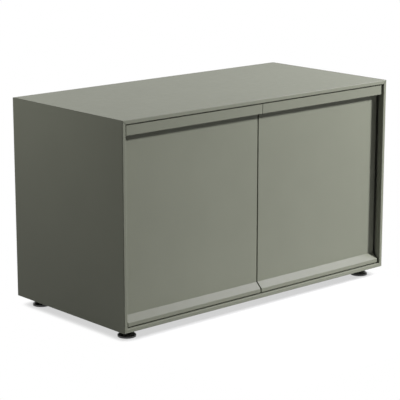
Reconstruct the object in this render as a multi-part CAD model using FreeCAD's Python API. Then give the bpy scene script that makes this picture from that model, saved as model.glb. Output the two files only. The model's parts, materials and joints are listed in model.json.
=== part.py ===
import FreeCAD, Part
import math
import os

# A low steel credenza: a case of four folded panels mitred at the corners, two full-height doors that turn
# on pivots at their outer ends, a fixed partition, two adjustable shelves and four levelling feet.
# Lengths are millimetres. X runs to the right, Y to the back and Z up. The origin is on the floor, midway
# between the sides and midway between front and back. The doors face -Y.

Vector = FreeCAD.Vector

# Case
case_width = 950.0
case_depth = 457.0
case_height = 540.0
floor_clearance = 25.0
case_sheet = 1.2
bend_radius = 0.8
edge_face = 10.8
level_return = 28.0
side_return = 17.5
rear_flange = 16.0
top_seam = 1.4

# Doors
door_sheet = 1.0
door_thickness = 25.5
door_setback = 4.5
top_gap = 2.0
bottom_gap = 2.6
middle_gap = 4.4
strip_gap = 1.8
swing_clearance = 1.0
strip_height = 27.4
recess_depth = 17.0
ledge_rise = 16.0
lip_height = 10.8
hook_depth = 6.0
hook_height = 16.0
pan_flange = 12.0
weld_gap = 0.1

# Door pivots
pivot_from_end = 17.0
pin_radius = 3.0
pin_head_radius = 5.5
pin_head_height = 1.5
pin_shoulder_radius = 6.0
pin_reach = 8.0
bush_radius = 4.5
bush_flange_radius = 7.0
bush_flange_height = 1.5
bush_length = 8.5
running_clearance = 0.05
thrust_play = 0.2
bracket_sheet = 2.5
bracket_width = 24.0
bracket_reach = 20.0
bracket_leg = 34.0
bracket_bend = 1.5

# Partition, and what the closed doors meet there
partition_width = 30.0
partition_flange = 12.0
door_to_partition = 2.0
contact_gap = 0.3
magnet_radius = 5.0
magnet_length = 11.0
magnet_height_share = 0.86
bumper_radius = 5.0
bumper_height_shares = (0.12, 0.74)

# Back panel, welded inside the rear flanges
back_sheet = 1.0
back_edge_gap = 0.2

# Shelves, slotted standards and clips
inner_sheet = 1.0
shelf_flange = 20.0
shelf_front_setback = 22.0
shelf_back_gap = 8.0
shelf_side_gap = 2.5
standard_width = 20.0
standard_end_gap = 22.0
clip_from_shelf_end = 38.0
slot_pitch = 50.0
slot_height = 8.0
slot_end_margin = 14.0
clip_sheet = 1.2
clip_width = 9.4
clip_drop = 16.0
clip_tab = 12.0
clip_hook = 7.0
clip_play = 0.2

# Stiffeners under the top
stiffener_crown = 40.0
stiffener_flange = 12.0
stiffener_end_gap = 6.0

# Levelling feet
foot_inset_x = 45.0
foot_inset_y = 47.0
foot_radius = 24.0
foot_rim = 4.5
foot_dome_height = 12.0
foot_dome_bulge = 1.6
foot_neck_radius = 11.0
foot_travel = 10.0
stem_radius = 4.0
stem_bed = 5.0
nut_across_flats = 13.0
lock_nut_height = 5.0
plate_size = 60.0
plate_height = 6.0

# One overrun for every cut, and the exactness of a shell
overrun = 1.0
shell_tolerance = 0.001

# Places that follow from the sizes above
front_y = -case_depth / 2
back_y = case_depth / 2
case_bottom = floor_clearance
case_top = floor_clearance + case_height
case_middle_z = (case_bottom + case_top) / 2
web_x = case_width / 2 - case_sheet
return_x = case_width / 2 - edge_face
back_panel_y = back_y - case_sheet - back_sheet

door_face_y = front_y + door_setback
door_panel_y = door_face_y + recess_depth
door_back_y = door_face_y + door_thickness
door_bottom = case_bottom + edge_face + bottom_gap
door_top = case_top - edge_face - top_gap
strip_bottom = door_top - strip_height
pivot_y = door_face_y + door_thickness / 2
swing_radius = math.hypot(pivot_from_end, door_thickness / 2)
side_gap = swing_radius - pivot_from_end + swing_clearance
door_outer_x = side_gap - return_x
door_inner_x = -middle_gap / 2
strip_inner_x = -strip_gap / 2
pivot_x = door_outer_x + pivot_from_end
return_end_y = door_back_y - inner_sheet - bend_radius

partition_front_y = door_back_y + door_to_partition
partition_x = partition_width / 2
shelf_front_y = partition_front_y + shelf_front_setback
shelf_back_y = back_panel_y - shelf_back_gap
clip_places_y = (shelf_front_y + clip_from_shelf_end, shelf_back_y - clip_from_shelf_end)
standard_bottom = case_bottom + case_sheet + standard_end_gap
standard_top = case_top - case_sheet - standard_end_gap
first_slot_z = standard_bottom + slot_end_margin
slot_count = int((standard_top - slot_end_margin - slot_height - first_slot_z) / slot_pitch) + 1
shelf_slot_z = first_slot_z + (slot_count // 2) * slot_pitch
shelf_seat_z = shelf_slot_z + clip_sheet - clip_drop

# The door skin from the back of its top edge to the back of its bottom edge: the strip, the hook behind it,
# the recessed panel, the sloping ledge and the lip
skin_section = (
    (return_end_y, door_top),
    (door_face_y, door_top),
    (door_face_y, strip_bottom),
    (door_face_y + hook_depth, strip_bottom),
    (door_face_y + hook_depth, strip_bottom + hook_height),
    (door_panel_y, strip_bottom + hook_height),
    (door_panel_y, door_bottom + lip_height + ledge_rise),
    (door_face_y, door_bottom + lip_height),
    (door_face_y, door_bottom),
    (return_end_y, door_bottom),
)


# Sections and solids


def left_of(start, end):
    """The unit vector to the left of a run."""
    along = (end - start).normalize()
    return Vector(-along.y, along.x, 0)


def fold_edges(places, shift, sheet, radius):
    """Runs and bends of the surface that lies `shift` to the left of a folded sheet's line."""
    points = [Vector(a, b, 0) for a, b in places]
    edges = []
    start = points[0] + left_of(points[0], points[1]) * shift
    for before, corner, after in zip(points, points[1:], points[2:]):
        first = left_of(before, corner)
        second = left_of(corner, after)
        turns_left = first.cross(second).z > 0
        centre_shift = sheet + radius if turns_left else -radius
        centre = corner + (first + second) * (centre_shift / (1 + first.dot(second)))
        surface_shift = shift - centre_shift
        bend_start = centre + first * surface_shift
        bend_middle = centre + (first + second).normalize() * surface_shift
        bend_end = centre + second * surface_shift
        edges.append(Part.makeLine(start, bend_start))
        edges.append(Part.Arc(bend_start, bend_middle, bend_end).toShape())
        start = bend_end
    end = points[-1] + left_of(points[-2], points[-1]) * shift
    edges.append(Part.makeLine(start, end))
    return edges


def face_within(edges):
    """The flat face inside a closed ring of edges."""
    return Part.Face(Part.Wire(Part.sortEdges(edges)[0]))


def ends_of(edges):
    """The first and the last point of a line of edges."""
    return edges[0].Vertexes[0].Point, edges[-1].Vertexes[-1].Point


def creased_face(places, sheet):
    """The section of a narrow strip creased along a line of places, its corners sharp."""
    points = [Vector(a, b, 0) for a, b in places]
    far = [points[0] + left_of(points[0], points[1]) * sheet]
    for before, corner, after in zip(points, points[1:], points[2:]):
        first = left_of(before, corner)
        second = left_of(corner, after)
        far.append(corner + (first + second) * (sheet / (1 + first.dot(second))))
    far.append(points[-1] + left_of(points[-2], points[-1]) * sheet)
    return Part.Face(Part.makePolygon(points + far[::-1] + points[:1]))


def folded_face(places, sheet, radius):
    """The section of a sheet folded along a line of places."""
    near = fold_edges(places, 0, sheet, radius)
    far = fold_edges(places, sheet, sheet, radius)
    caps = [Part.makeLine(a, b) for a, b in zip(ends_of(near), ends_of(far))]
    return face_within(near + far + caps)


def polygon_face(places):
    """The flat face inside a polygon drawn in its own plane."""
    points = [Vector(a, b, 0) for a, b in places]
    return Part.Face(Part.makePolygon(points + points[:1]))


def along_x(face, start, length):
    """Extrudes a face drawn in (y, z) from x = start."""
    solid = face.extrude(Vector(0, 0, length))
    turn = FreeCAD.Rotation(Vector(0, 1, 0), Vector(0, 0, 1), Vector(1, 0, 0), "ZXY")
    return solid.transformed(FreeCAD.Placement(Vector(start, 0, 0), turn).toMatrix())


def along_y(face, start, length):
    """Extrudes a face drawn in (x, z) from y = start."""
    solid = face.extrude(Vector(0, 0, length))
    turn = FreeCAD.Rotation(Vector(1, 0, 0), Vector(0, 0, 1), Vector(0, -1, 0), "ZXY")
    return solid.transformed(FreeCAD.Placement(Vector(0, start + length, 0), turn).toMatrix())


def along_z(face, start, length):
    """Extrudes a face drawn in (x, y) from z = start."""
    return face.extrude(Vector(0, 0, length)).translated(Vector(0, 0, start))


def block(low, high):
    """A box from its lowest to its highest corner."""
    size = Vector(*high) - Vector(*low)
    return Part.makeBox(size.x, size.y, size.z, Vector(*low))


def rod(radius, base, length, axis=Vector(0, 0, 1)):
    return Part.makeCylinder(radius, length, base, axis)


def group(shapes):
    """Separate solids that share a node."""
    return Part.makeCompound(shapes)


def mirrored(shape):
    """The right-hand twin of a piece on the left."""
    return shape.mirror(Vector(0, 0, 0), Vector(1, 0, 0))


def hexagon_bar(base_z, height):
    """A hexagonal bar on the Z axis, as wide as the lock nuts."""
    corner = nut_across_flats / math.sqrt(3)
    turns = [math.radians(60 * step) for step in range(6)]
    flats = polygon_face([(corner * math.cos(turn), corner * math.sin(turn)) for turn in turns])
    return along_z(flats, base_z, height)


# Case


def case_panel(length, front_return):
    """One wall as the bottom panel lies, its ends mitred at 45 degrees. Its section runs from the front
    return, of the given depth, over the front face and the web to the rear flange. The sheet lies to the
    left of this line."""
    section = (
        (front_y + front_return, edge_face),
        (front_y, edge_face),
        (front_y, 0),
        (back_y, 0),
        (back_y, rear_flange),
    )
    panel = along_x(folded_face(section, case_sheet, bend_radius), -length / 2, length)
    half = length / 2
    reach = rear_flange + edge_face
    mitres = polygon_face([(-half, 0), (half, 0), (half - reach, reach), (reach - half, reach)])
    return panel.common(along_y(mitres, front_y - overrun, case_depth + 2 * overrun))


def turned_wall(panel, degrees, place):
    """A wall turned about Y and moved to its place."""
    turn = FreeCAD.Rotation(Vector(0, 1, 0), degrees)
    return panel.transformed(FreeCAD.Placement(place, turn).toMatrix())


def pivot_holes(return_top):
    """Cutters for both door pins through a return of the case."""
    base_z = return_top - case_sheet - overrun
    height = case_sheet + 2 * overrun
    radius = pin_radius + running_clearance
    return group([rod(radius, Vector(x, pivot_y, base_z), height) for x in (pivot_x, -pivot_x)])


def foot_places():
    """Where the levelling feet stand, by name, as (x, y)."""
    x = case_width / 2 - foot_inset_x
    y = case_depth / 2 - foot_inset_y
    return {"front_left": (-x, -y), "front_right": (x, -y), "back_left": (-x, y), "back_right": (x, y)}


def stem_holes(base_z, height):
    """Cutters for the four stems of the feet."""
    radius = stem_radius + running_clearance
    return group([rod(radius, Vector(x, y, base_z), height) for x, y in foot_places().values()])


def case_walls():
    """Bottom, top and sides of the case, with the holes for the door pins and the feet. The sides meet the
    bottom, and a narrow seam stays open between each of them and the top."""
    upright = case_panel(case_height, side_return)
    bottom = turned_wall(case_panel(case_width, level_return), 0, Vector(0, 0, case_bottom))
    bottom = bottom.cut(pivot_holes(case_bottom + edge_face))
    bottom = bottom.cut(stem_holes(case_bottom - overrun, case_sheet + 2 * overrun))
    top_length = case_width - 2 * top_seam
    top = turned_wall(case_panel(top_length, level_return), 180, Vector(0, 0, case_top))
    top = top.cut(pivot_holes(case_top - edge_face + case_sheet))
    left = turned_wall(upright, 90, Vector(-case_width / 2, 0, case_middle_z))
    right = turned_wall(upright, -90, Vector(case_width / 2, 0, case_middle_z))
    return {
        "bottom_panel": bottom,
        "top_panel": top,
        "left_side_panel": left,
        "right_side_panel": right,
    }


def back_panel():
    """A flat sheet inside the rear flanges."""
    edge_gap = bend_radius + back_edge_gap
    reach_x = web_x - edge_gap
    low_z = case_bottom + case_sheet + edge_gap
    high_z = case_top - case_sheet - edge_gap
    return block((-reach_x, back_panel_y, low_z), (reach_x, back_panel_y + back_sheet, high_z))


def top_stiffener():
    """A hat channel under the left half of the top, from the front return to the back panel."""
    middle_x = -(web_x + partition_x) / 2
    underside = case_top - case_sheet
    crown_z = case_top - edge_face
    half = stiffener_crown / 2
    outline = (
        (middle_x - half - stiffener_flange, underside - inner_sheet),
        (middle_x - half, underside - inner_sheet),
        (middle_x - half, crown_z),
        (middle_x + half, crown_z),
        (middle_x + half, underside - inner_sheet),
        (middle_x + half + stiffener_flange, underside - inner_sheet),
    )
    start = front_y + level_return + stiffener_end_gap
    length = back_panel_y - stiffener_end_gap - start
    return along_y(folded_face(outline, inner_sheet, bend_radius), start, length)


# Partition, shelves and what carries them


def slot_cutters(low_x, high_x):
    """Cutters for the clip slots in upright sheets between two places across the case."""
    half = clip_width / 2 + clip_play
    cutters = []
    for y in clip_places_y:
        for step in range(slot_count):
            z = first_slot_z + step * slot_pitch
            cutters.append(block((low_x, y - half, z), (high_x, y + half, z + slot_height)))
    return group(cutters)


def magnet_places():
    """Where the door magnets sit in the partition's front, as (x, z), left and right."""
    z = door_bottom + magnet_height_share * (door_top - door_bottom)
    x = (partition_x - bend_radius - case_sheet - middle_gap / 2) / 2 + middle_gap / 2
    return ((-x, z), (x, z))


def center_partition():
    """A channel open to the back, with slots for the shelf clips and seats for the door magnets."""
    back_line = back_panel_y - case_sheet
    outline = (
        (-partition_x - partition_flange, back_line),
        (-partition_x, back_line),
        (-partition_x, partition_front_y),
        (partition_x, partition_front_y),
        (partition_x, back_line),
        (partition_x + partition_flange, back_line),
    )
    low_z = case_bottom + case_sheet
    channel = along_z(
        folded_face(outline, case_sheet, bend_radius), low_z, case_top - case_sheet - low_z
    )
    channel = channel.cut(slot_cutters(-partition_x - overrun, partition_x + overrun))
    seats = [
        rod(
            magnet_radius + running_clearance,
            Vector(x, partition_front_y - overrun, z),
            case_sheet + 2 * overrun,
            Vector(0, 1, 0),
        )
        for x, z in magnet_places()
    ]
    return channel.cut(group(seats))


def door_magnet():
    """The left door's magnet: a cup pressed into the partition's front, its face where the door meets it."""
    x, z = magnet_places()[0]
    return rod(magnet_radius, Vector(x, door_back_y + contact_gap, z), magnet_length, Vector(0, 1, 0))


def shelf_standard(middle_y):
    """A slotted channel on the left wall, its face in line with the front return."""
    half = standard_width / 2
    outline = (
        (-web_x, middle_y + half),
        (-return_x, middle_y + half),
        (-return_x, middle_y - half),
        (-web_x, middle_y - half),
    )
    channel = folded_face(outline[::-1], inner_sheet, bend_radius)
    solid = along_z(channel, standard_bottom, standard_top - standard_bottom)
    low_x = -return_x - inner_sheet - bend_radius
    return solid.cut(slot_cutters(low_x, overrun - return_x))


def shelf():
    """The left shelf: a sheet with its four edges folded down."""
    low_x = shelf_side_gap - return_x
    high_x = -partition_x - shelf_side_gap
    outer = block(
        (low_x, shelf_front_y, shelf_seat_z), (high_x, shelf_back_y, shelf_seat_z + shelf_flange)
    )
    top_face = max(outer.Faces, key=lambda face: face.CenterOfMass.z)
    rounded = outer.makeFillet(bend_radius + inner_sheet, top_face.Edges)
    open_face = min(rounded.Faces, key=lambda face: face.CenterOfMass.z)
    return rounded.makeThickness([open_face], -inner_sheet, shell_tolerance)


def shelf_clip(face_x, wall_sheet, middle_y):
    """A stamped clip for a wall whose face looks to +X: a tab for the shelf, and a hook through a slot."""
    plate_x = clip_play + clip_sheet
    hook_x = -wall_sheet - clip_play - clip_sheet
    outline = (
        (face_x + clip_tab, shelf_seat_z),
        (face_x + plate_x, shelf_seat_z),
        (face_x + plate_x, shelf_seat_z + clip_drop),
        (face_x + hook_x, shelf_seat_z + clip_drop),
        (face_x + hook_x, shelf_seat_z + clip_drop - clip_hook),
    )
    return along_y(creased_face(outline, clip_sheet), middle_y - clip_width / 2, clip_width)


def shelf_clips():
    """The four clips of the left shelf: two on the wall's standards and two on the partition."""
    clips = []
    for y in clip_places_y:
        clips.append(shelf_clip(-return_x, inner_sheet, y))
        clips.append(mirrored(shelf_clip(partition_x, case_sheet, y)))
    return group(clips)


# Doors


def pivot_reliefs():
    """Where the pan's flanges make room for the pivot brackets at the hinge end."""
    low_x = door_outer_x + inner_sheet
    high_x = pivot_x + bracket_width
    low_y = door_face_y
    high_y = door_back_y - inner_sheet
    depth = inner_sheet + door_sheet + bend_radius
    return group([
        block((low_x, low_y, door_top - depth), (high_x, high_y, door_top)),
        block((low_x, low_y, door_bottom), (high_x, high_y, door_bottom + depth)),
    ])


def bush_holes(reach):
    """Cutters for the bushes of the left door, through its top and bottom edges."""
    radius = bush_radius + running_clearance
    return group([
        rod(radius, Vector(pivot_x, pivot_y, door_top - reach), reach + overrun),
        rod(radius, Vector(pivot_x, pivot_y, door_bottom - overrun), reach + overrun),
    ])


def door_skin():
    """The left door's front: one sheet with nine folds and the same section from end to end, cut back below
    the strip where the doors meet, so that only the strips come close."""
    face = folded_face(skin_section, door_sheet, bend_radius)
    skin = along_x(face, door_outer_x, strip_inner_x - door_outer_x)
    cut_back = block(
        (door_inner_x, door_face_y - overrun, door_bottom - overrun),
        (strip_inner_x + overrun, door_back_y, strip_bottom - door_sheet),
    )
    return skin.cut(group([cut_back, bush_holes(door_sheet + overrun)]))


def end_flange_face():
    """The shape that closes an end of the door: inside the skin, with a relief at each rear corner."""
    lining = fold_edges(skin_section, door_sheet + weld_gap, door_sheet, bend_radius)
    top, bottom = ends_of(lining)
    relief = inner_sheet + bend_radius
    rear_y = door_back_y - inner_sheet / 2
    corners = [
        top,
        top - Vector(0, relief, 0),
        Vector(rear_y, top.y - relief, 0),
        Vector(rear_y, bottom.y + relief, 0),
        bottom + Vector(0, relief, 0),
        bottom,
    ]
    return face_within(lining + [Part.makeLine(a, b) for a, b in zip(corners, corners[1:])])


def door_pan():
    """The left door's back: a tray whose top and bottom flanges nest in the skin and whose ends close it."""
    low_z = door_bottom + door_sheet + weld_gap
    high_z = door_top - door_sheet - weld_gap
    outline = (
        (door_back_y - pan_flange, low_z),
        (door_back_y, low_z),
        (door_back_y, high_z),
        (door_back_y - pan_flange, high_z),
    )
    width = door_inner_x - door_outer_x
    tray = along_x(folded_face(outline, inner_sheet, bend_radius), door_outer_x, width)
    tray = tray.cut(pivot_reliefs())
    end = end_flange_face()
    ends = [along_x(end, x, inner_sheet) for x in (door_outer_x, door_inner_x - inner_sheet)]
    return tray.fuse(ends).removeSplitter()


def door_bumpers():
    """Two soft discs behind the left door's free end, which meet the partition."""
    x = magnet_places()[0][0]
    thickness = door_to_partition - contact_gap
    bumper = rod(bumper_radius, Vector(x, door_back_y, 0), thickness, Vector(0, 1, 0))
    heights = [door_bottom + share * (door_top - door_bottom) for share in bumper_height_shares]
    return group([bumper.translated(Vector(0, 0, z)) for z in heights])


def at_door_edge(shape, is_upper):
    """Moves a pivot piece from the plane z = 0, where it is drawn under a door's top edge, to its place."""
    if is_upper:
        return shape.translated(Vector(0, 0, door_top))
    return shape.mirror(Vector(0, 0, 0), Vector(0, 0, 1)).translated(Vector(0, 0, door_bottom))


def pivot_bracket(is_upper):
    """An angle inside the left door: a leg under the door's edge and a leg on the pan."""
    rear_y = door_back_y - inner_sheet
    outline = (
        (rear_y, -door_sheet - bracket_leg),
        (rear_y, -door_sheet),
        (rear_y - bracket_reach, -door_sheet),
    )
    face = folded_face(outline, bracket_sheet, bracket_bend)
    bracket = along_x(face, pivot_x - bracket_width / 2, bracket_width)
    depth = door_sheet + bracket_sheet + overrun
    hole = rod(bush_radius + running_clearance, Vector(pivot_x, pivot_y, -depth), depth)
    return at_door_edge(bracket.cut(hole), is_upper)


def pivot_bush(is_upper):
    """A flanged bush in the left door's edge, which runs on the pin."""
    barrel = rod(bush_radius, Vector(pivot_x, pivot_y, -bush_length), bush_length)
    flange = rod(bush_flange_radius, Vector(pivot_x, pivot_y, 0), bush_flange_height)
    length = bush_length + bush_flange_height + 2 * overrun
    bore = rod(pin_radius + running_clearance, Vector(pivot_x, pivot_y, -bush_length - overrun), length)
    return at_door_edge(barrel.fuse(flange).cut(bore).removeSplitter(), is_upper)


def pivot_pin(is_upper):
    """A pin through a return of the case: the upper one hangs by its head, and the lower one has a shoulder
    that carries the door."""
    gap = top_gap if is_upper else bottom_gap
    pin = rod(pin_radius, Vector(pivot_x, pivot_y, -pin_reach), pin_reach + gap + case_sheet)
    if is_upper:
        collar = rod(pin_head_radius, Vector(pivot_x, pivot_y, gap + case_sheet), pin_head_height)
    else:
        collar_z = bush_flange_height + thrust_play
        collar = rod(pin_shoulder_radius, Vector(pivot_x, pivot_y, collar_z), gap - collar_z)
    return at_door_edge(pin.fuse(collar).removeSplitter(), is_upper)


# Levelling feet


def foot_pad():
    """A domed pad with a hexagonal neck, moulded round the stem."""
    neck_z = floor_clearance - lock_nut_height
    rim = Vector(foot_radius, 0, foot_rim)
    crown = Vector(foot_neck_radius, 0, foot_dome_height)
    along = (crown - rim).normalize()
    haunch = (rim + crown) / 2 + Vector(along.z, 0, -along.x) * foot_dome_bulge
    outline = [
        Vector(0, 0, 0),
        Vector(foot_radius, 0, 0),
        rim,
        haunch,
        crown,
        Vector(0, 0, foot_dome_height),
        Vector(0, 0, 0),
    ]
    dome = Part.Face(Part.makePolygon(outline)).revolve(Vector(0, 0, 0), Vector(0, 0, 1), 360)
    pad = dome.fuse(hexagon_bar(foot_rim, neck_z - foot_rim))
    return pad.cut(rod(stem_radius, Vector(0, 0, stem_bed), neck_z)).removeSplitter()


def foot_stem():
    """The stem from its bed in the pad to its tip above the plate, with thread enough for the travel."""
    tip_z = case_bottom + case_sheet + plate_height + foot_travel
    return rod(stem_radius, Vector(0, 0, stem_bed), tip_z - stem_bed)


def leveller_plate():
    """The tapped plate on the bottom panel that a foot screws through, with a running fit on the stem."""
    half = plate_size / 2
    base_z = case_bottom + case_sheet
    plate = block((-half, -half, base_z), (half, half, base_z + plate_height))
    bore = rod(stem_radius + running_clearance, Vector(0, 0, base_z - overrun), plate_height + 2 * overrun)
    return plate.cut(bore)


def lock_nuts():
    """A nut under the case at each foot, with a running fit on the stem."""
    base_z = case_bottom - lock_nut_height
    bar = hexagon_bar(base_z, lock_nut_height)
    nut = bar.cut(rod(stem_radius + running_clearance, Vector(0, 0, base_z), lock_nut_height))
    return group([nut.translated(Vector(x, y, 0)) for x, y in foot_places().values()])


# Every node by its name

nodes = case_walls()
nodes["back_panel"] = back_panel()
nodes["center_partition"] = center_partition()

left_pieces = {
    "top_stiffener": top_stiffener(),
    "shelf": shelf(),
    "shelf_clips": shelf_clips(),
    "front_shelf_standard": shelf_standard(clip_places_y[0]),
    "rear_shelf_standard": shelf_standard(clip_places_y[1]),
    "door_magnet": door_magnet(),
    "door_skin": door_skin(),
    "door_pan": door_pan(),
    "door_bumpers": door_bumpers(),
}
for level, is_upper in (("upper", True), ("lower", False)):
    left_pieces[level + "_pivot_bracket"] = pivot_bracket(is_upper)
    left_pieces[level + "_pivot_bush"] = pivot_bush(is_upper)
    left_pieces[level + "_pivot_pin"] = pivot_pin(is_upper)
for name, piece in left_pieces.items():
    nodes["left_" + name] = piece
    nodes["right_" + name] = mirrored(piece)

for name, (x, y) in foot_places().items():
    nodes[name + "_foot_pad"] = foot_pad().translated(Vector(x, y, 0))
    nodes[name + "_foot_stem"] = foot_stem().translated(Vector(x, y, 0))
    nodes[name + "_leveller_plate"] = leveller_plate().translated(Vector(x, y, 0))
nodes["leveller_lock_nuts"] = lock_nuts()

os.makedirs("parts", exist_ok=True)
for name, shape in nodes.items():
    shape.exportStep("parts/" + name + ".step")
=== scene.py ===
import json
import math

import bpy
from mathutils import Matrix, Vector


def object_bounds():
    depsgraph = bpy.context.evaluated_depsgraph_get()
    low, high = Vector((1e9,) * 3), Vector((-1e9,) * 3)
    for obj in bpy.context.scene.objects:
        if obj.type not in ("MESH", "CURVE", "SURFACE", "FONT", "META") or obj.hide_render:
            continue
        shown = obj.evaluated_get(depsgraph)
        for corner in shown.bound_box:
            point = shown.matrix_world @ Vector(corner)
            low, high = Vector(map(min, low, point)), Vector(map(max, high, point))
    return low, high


# The looks of a low steel credenza: powder-coated sheet, black plastic feet, bright zinc and nickel small
# parts. Lengths are metres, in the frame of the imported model: X to the right, Y to the back, Z up, and the
# doors face -Y. Colours are linear.

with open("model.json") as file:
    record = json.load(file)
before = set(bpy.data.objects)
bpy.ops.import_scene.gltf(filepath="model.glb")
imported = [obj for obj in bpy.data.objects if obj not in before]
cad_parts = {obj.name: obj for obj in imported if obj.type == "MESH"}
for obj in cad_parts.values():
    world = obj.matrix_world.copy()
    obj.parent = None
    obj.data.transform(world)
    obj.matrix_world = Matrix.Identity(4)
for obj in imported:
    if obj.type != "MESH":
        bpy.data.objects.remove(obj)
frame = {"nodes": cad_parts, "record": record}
cad_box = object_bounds()

# Camera, at the photograph's viewing angle
FRAME_PIXELS = 400
FOCAL_PIXELS = 1611.8
SENSOR_WIDTH_MM = 36.0
CAMERA_PLACE = (-2.8826, -3.2159, 1.2718)
CAMERA_HEADING_DEGREES = 41.672
CAMERA_PITCH_DEGREES = 13.257

# Light. A softbox's azimuth goes from the front towards the right, in degrees like its elevation, and its
# distance is from the middle of the object. The key stays out of the gloss, so that seen from behind the top
# isn't washed out. The sheen light gives the sloping ledges and the bends their brightness instead.
WORLD_FILL = 0.06
WHITE = (1.0, 1.0, 1.0)
SOFTBOXES = {
    "key_light": {
        "azimuth": 54, "elevation": 30, "distance": 3.3, "side": 0.3,
        "watts": 191.0, "color": (1.0, 1.0, 1.04), "on_matt": True, "in_gloss": False,
    },
    "sheen_light": {
        "azimuth": 66, "elevation": 40, "distance": 2.8, "side": 0.6,
        "watts": 62.0, "color": (0.95, 0.9, 1.09), "on_matt": False, "in_gloss": True,
    },
    "back_light": {
        "azimuth": 180, "elevation": 16, "distance": 2.6, "side": 1.0,
        "watts": 38.0, "color": WHITE, "on_matt": True, "in_gloss": False,
    },
    "side_light": {
        "azimuth": -106, "elevation": 30, "distance": 1.4, "side": 0.7,
        "watts": 3.8, "color": WHITE, "on_matt": True, "in_gloss": False,
    },
}

# Floor as the camera sees it: lifted to white, so that only shadows show. Under the object a shadow is
# painted:
# there the floor glows no brighter than the painted shadow's level, by the open share of what lies overhead
# within a short reach. The lamps' own shadows are kept on a rectangle in front of the object, where the open
# doors cast them.
FLOOR_SIZE = 60.0
FLOOR_SHADE_SHARE = 0.38
FLOOR_LIFT = 0.7
# Painted shadow: how bright the floor glows under the object, in place of real shade
PAINTED_SHADOW_LEVEL = 0.63
COVER_REACH = 0.06
OPEN_SHARE_UNDER = 0.2
OPEN_SHARE_BESIDE = 0.58
SHADOW_PLACE = {"half_width": 0.445, "front": -0.7, "back": 0.2, "fade_width": 0.03}

# Floor as it throws light back: an apron before the doors throws more than the rest, and so brightens their
# lower ends.
FLOOR_ALBEDO = 0.27
APRON_ALBEDO = 0.62
APRON_PLACE = {"half_width": 0.46, "front": -0.43, "back": -0.2, "fade_width": 0.05}

# Finishes. Each has values for the shader's own sockets and up to three noises, with their cells to a metre
# and their detail. The first varies the colour by a share either way, the second the roughness between two
# values, and the third is a grain of a real depth. A stretch makes the cells so many times finer in Z.
NOISE_SPAN = (0.3, 0.7)
SMOOTH_DEGREES = 32.0
PAINT_COLOR = (0.2, 0.208, 0.161)
# Satin powder coat: fine orange peel over a slow drift of shade, with a little unevenness of gloss
POWDER_COAT = {
    "shader": {"Specular IOR Level": 0.16},
    "color": {"cells": 9, "detail": 3, "share": 0.018},
    "gloss": {"cells": 55, "detail": 4, "low": 0.42, "high": 0.5},
    "grain": {"cells": 520, "detail": 2, "depth": 0.00006, "strength": 0.35},
}
# Bright zinc with a fine rolled grain and cloudy patches
ROLLED_ZINC = {
    "shader": {"Metallic": 1.0},
    "color": {"cells": 140, "detail": 4, "share": 0.12},
    "gloss": {"cells": 420, "detail": 3, "stretch": 6, "low": 0.24, "high": 0.42},
    "grain": {"cells": 900, "detail": 2, "stretch": 8, "depth": 0.00002, "strength": 0.3},
}
# Moulded plastic, black or natural: a fine spark-eroded grain with a slow drift of gloss
SHINY_PLASTIC = {
    "shader": {"Specular IOR Level": 0.9},
    "color": {"cells": 60, "detail": 3, "share": 0.08},
    "gloss": {"cells": 90, "detail": 3, "low": 0.2, "high": 0.3},
    "grain": {"cells": 1500, "detail": 2, "depth": 0.00003, "strength": 0.3},
}
DULL_PLASTIC = {
    "shader": {"Specular IOR Level": 0.5},
    "color": {"cells": 60, "detail": 3, "share": 0.08},
    "gloss": {"cells": 90, "detail": 3, "low": 0.4, "high": 0.5},
    "grain": {"cells": 1500, "detail": 2, "depth": 0.00003, "strength": 0.3},
}
# Nickel, smooth but for patches of gloss
NICKEL = {
    "shader": {"Metallic": 1.0},
    "color": {"cells": 200, "detail": 3, "share": 0.05},
    "gloss": {"cells": 300, "detail": 3, "low": 0.16, "high": 0.28},
}
# Soft rubber with a dull bloom
SOFT_RUBBER = {
    "shader": {"Specular IOR Level": 0.3},
    "color": {"cells": 250, "detail": 4, "share": 0.2},
    "gloss": {"cells": 400, "detail": 3, "low": 0.7, "high": 0.9},
    "grain": {"cells": 1800, "detail": 2, "depth": 0.00003, "strength": 0.4},
}
FINISHES = {
    "case_paint": POWDER_COAT,
    "door_paint": POWDER_COAT,
    "inner_paint": POWDER_COAT,
    "zinc_plate": ROLLED_ZINC,
    "foot_plastic": SHINY_PLASTIC,
    "nylon": DULL_PLASTIC,
    "magnet_cup": NICKEL,
    "bumper_rubber": SOFT_RUBBER,
}


def arithmetic(tree, operation, *values):
    """A Math node on numbers or on other nodes' outputs: returns its output."""
    node = tree.nodes.new("ShaderNodeMath")
    node.operation = operation
    for socket, value in zip(node.inputs, values):
        if isinstance(value, bpy.types.NodeSocket):
            tree.links.new(value, socket)
        else:
            socket.default_value = value
    return node.outputs[0]


def map_range(tree, value, source=(0, 1), target=(0, 1), smooth=False):
    """Takes a value from one range to another, and keeps it within."""
    node = tree.nodes.new("ShaderNodeMapRange")
    if smooth:
        node.interpolation_type = "SMOOTHSTEP"
    for name, number in zip(("From Min", "From Max", "To Min", "To Max"), (*source, *target)):
        node.inputs[name].default_value = number
    tree.links.new(value, node.inputs["Value"])
    return node.outputs["Result"]


def mix_shaders(tree, share, first, second):
    """The first shader where the share is 0, and the second where it is 1."""
    node = tree.nodes.new("ShaderNodeMixShader")
    for output, socket in zip((share, first, second), node.inputs):
        tree.links.new(output, socket)
    return node.outputs[0]


def glow(tree, strength):
    """A white light of a given strength."""
    node = tree.nodes.new("ShaderNodeEmission")
    node.inputs["Strength"].default_value = strength
    return node.outputs[0]


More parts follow.
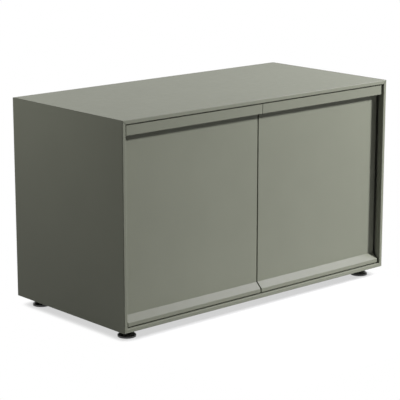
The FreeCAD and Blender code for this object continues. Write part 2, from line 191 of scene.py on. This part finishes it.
def noise(tree, cells, detail, stretch=1):
    """A noise in the piece's own coordinates."""
    place = tree.nodes.new("ShaderNodeTexCoord")
    mapping = tree.nodes.new("ShaderNodeMapping")
    mapping.inputs["Scale"].default_value = (1, 1, stretch)
    texture = tree.nodes.new("ShaderNodeTexNoise")
    texture.inputs["Scale"].default_value = cells
    texture.inputs["Detail"].default_value = detail
    tree.links.new(place.outputs["Object"], mapping.inputs["Vector"])
    tree.links.new(mapping.outputs["Vector"], texture.inputs["Vector"])
    return texture.outputs["Fac"]


def vary_color(tree, shader, color, share, **cells):
    """Varies a colour by a share either way, between a noise's usual lows and highs."""
    ramp = tree.nodes.new("ShaderNodeValToRGB")
    for stop, place, factor in zip(ramp.color_ramp.elements, NOISE_SPAN, (1 - share, 1 + share)):
        stop.position = place
        stop.color = [c * factor for c in color] + [1]
    tree.links.new(noise(tree, **cells), ramp.inputs["Fac"])
    tree.links.new(ramp.outputs["Color"], shader.inputs["Base Color"])


def vary_gloss(tree, shader, low, high, **cells):
    """Varies the roughness between two values."""
    roughness = map_range(tree, noise(tree, **cells), target=(low, high))
    tree.links.new(roughness, shader.inputs["Roughness"])


def add_grain(tree, shader, depth, strength, **cells):
    """A bump of a real depth."""
    bump = tree.nodes.new("ShaderNodeBump")
    bump.inputs["Strength"].default_value = strength
    bump.inputs["Distance"].default_value = depth
    tree.links.new(noise(tree, **cells), bump.inputs["Height"])
    tree.links.new(bump.outputs["Normal"], shader.inputs["Normal"])


def make_material(slot, record_color):
    """The finish of one of the record's slots, in its colour there, or in the paint's."""
    finish = FINISHES[slot]
    color = PAINT_COLOR if finish is POWDER_COAT else record_color
    material = bpy.data.materials.new(slot)
    material.use_nodes = True
    tree = material.node_tree
    shader = tree.nodes["Principled BSDF"]
    for socket, value in finish["shader"].items():
        shader.inputs[socket].default_value = value
    vary_color(tree, shader, color, **finish["color"])
    vary_gloss(tree, shader, **finish["gloss"])
    if "grain" in finish:
        add_grain(tree, shader, **finish["grain"])
    return material


def dress_nodes():
    """Gives every CAD node its material, and shades its bends smooth."""
    record = frame["record"]
    materials = {m["slot"]: make_material(m["slot"], m["base_color"]) for m in record["materials"]}
    for subpart in record["subparts"]:
        piece = frame["nodes"][subpart["node"]]
        piece.data.materials.clear()
        piece.data.materials.append(materials[subpart["material_slot"]])
        piece.data.shade_smooth()
        piece.data.set_sharp_from_angle(angle=math.radians(SMOOTH_DEGREES))


def softbox(name, azimuth, elevation, distance, side, watts, color, on_matt, in_gloss):
    """A square soft light aimed at the middle of the object, for matt surfaces, for gloss, or for both."""
    data = bpy.data.lights.new(name, "AREA")
    data.energy = watts
    data.size = side
    data.color = color
    light = bpy.data.objects.new(name, data)
    turn, rise = math.radians(azimuth), math.radians(elevation)
    way = Vector((math.sin(turn) * math.cos(rise), -math.cos(turn) * math.cos(rise), math.sin(rise)))
    light.location = (cad_box[0] + cad_box[1]) / 2 + distance * way
    light.rotation_euler = way.to_track_quat("Z", "Y").to_euler()
    light.visible_diffuse = on_matt
    light.visible_glossy = in_gloss
    bpy.context.scene.collection.objects.link(light)


def seen_directly(tree):
    """1 for rays that see a surface from the camera, in a mirror or through glass, and 0 for others."""
    rays = tree.nodes.new("ShaderNodeLightPath")
    either = arithmetic(tree, "MAXIMUM", rays.outputs["Is Camera Ray"], rays.outputs["Is Glossy Ray"])
    return arithmetic(tree, "MAXIMUM", either, rays.outputs["Is Transmission Ray"])


def make_world():
    """A white studio to look at, and an even fill to light by."""
    world = bpy.data.worlds.new("studio")
    world.use_nodes = True
    bpy.context.scene.world = world
    tree = world.node_tree
    background = tree.nodes["Background"]
    background.inputs["Color"].default_value = (*WHITE, 1)
    level = map_range(tree, seen_directly(tree), target=(WORLD_FILL, 1))
    tree.links.new(level, background.inputs["Strength"])


def beyond(tree, value, middle, half):
    """How far a coordinate lies beyond a stretch of the floor, and 0 within it."""
    offset = arithmetic(tree, "SUBTRACT", value, middle)
    reach = arithmetic(tree, "ABSOLUTE", offset)
    return arithmetic(tree, "MAXIMUM", arithmetic(tree, "SUBTRACT", reach, half), 0)


def outside(tree, half_width, front, back, fade_width):
    """0 on a rectangle of the floor, rising to 1 a little way beyond."""
    place = tree.nodes.new("ShaderNodeNewGeometry")
    split = tree.nodes.new("ShaderNodeSeparateXYZ")
    tree.links.new(place.outputs["Position"], split.inputs[0])
    middle, half_depth = (front + back) / 2, (back - front) / 2
    join = tree.nodes.new("ShaderNodeCombineXYZ")
    tree.links.new(beyond(tree, split.outputs["X"], 0, half_width), join.inputs["X"])
    tree.links.new(beyond(tree, split.outputs["Y"], middle, half_depth), join.inputs["Y"])
    distance = tree.nodes.new("ShaderNodeVectorMath")
    distance.operation = "LENGTH"
    tree.links.new(join.outputs[0], distance.inputs[0])
    return map_range(tree, distance.outputs["Value"], source=(0, fade_width), smooth=True)


def outside_painted_shadow(tree):
    """0 for the floor that lies under the object, where a shadow is painted, rising to 1 at its edge."""
    cover = tree.nodes.new("ShaderNodeAmbientOcclusion")
    cover.inputs["Distance"].default_value = COVER_REACH
    return map_range(tree, cover.outputs["AO"], source=(OPEN_SHARE_UNDER, OPEN_SHARE_BESIDE))


def floor_bounce(tree):
    """The floor as it throws light back."""
    albedo = map_range(tree, outside(tree, **APRON_PLACE), target=(APRON_ALBEDO, FLOOR_ALBEDO))
    plain = tree.nodes.new("ShaderNodeBsdfDiffuse")
    tree.links.new(albedo, plain.inputs["Color"])
    return plain.outputs[0]


def floor_seen(tree):
    """The floor as the camera sees it: the lamps' shadows, lifted, and a painted shadow under the object."""
    shaded = tree.nodes.new("ShaderNodeBsdfDiffuse")
    shaded.inputs["Color"].default_value = (FLOOR_SHADE_SHARE, FLOOR_SHADE_SHARE, FLOOR_SHADE_SHARE, 1)
    kept = tree.nodes.new("ShaderNodeAddShader")
    tree.links.new(shaded.outputs[0], kept.inputs[0])
    tree.links.new(glow(tree, FLOOR_LIFT), kept.inputs[1])
    faded = mix_shaders(tree, outside(tree, **SHADOW_PLACE), kept.outputs[0], glow(tree, 1))
    # Under the object the floor glows at a low level, set by ambient occlusion: a painted shadow
    return mix_shaders(tree, outside_painted_shadow(tree), glow(tree, PAINTED_SHADOW_LEVEL), faded)


def make_floor():
    """A pale floor that keeps the object's shadow from the lamps before it, and has a painted shadow under
    it.
    """
    bpy.ops.mesh.primitive_plane_add(size=FLOOR_SIZE)
    floor = bpy.context.object
    floor.name = "floor"
    material = bpy.data.materials.new("pale_floor")
    material.use_nodes = True
    tree = material.node_tree
    tree.nodes.remove(tree.nodes["Principled BSDF"])
    surface = mix_shaders(tree, seen_directly(tree), floor_bounce(tree), floor_seen(tree))
    tree.links.new(surface, tree.nodes["Material Output"].inputs["Surface"])
    floor.data.materials.append(material)


def make_camera():
    """A camera in the photograph's place, level from side to side and without shift."""
    data = bpy.data.cameras.new("camera")
    data.sensor_width = SENSOR_WIDTH_MM
    data.lens = FOCAL_PIXELS * SENSOR_WIDTH_MM / FRAME_PIXELS
    data.clip_end = FLOOR_SIZE
    camera = bpy.data.objects.new("camera", data)
    camera.location = CAMERA_PLACE
    pitch = math.radians(90 - CAMERA_PITCH_DEGREES)
    camera.rotation_euler = (pitch, 0, -math.radians(CAMERA_HEADING_DEGREES))
    bpy.context.scene.collection.objects.link(camera)
    bpy.context.scene.camera = camera


dress_nodes()
make_world()
make_floor()
for light_name, settings in SOFTBOXES.items():
    softbox(light_name, **settings)
make_camera()
bpy.context.scene.view_settings.view_transform = "Standard"
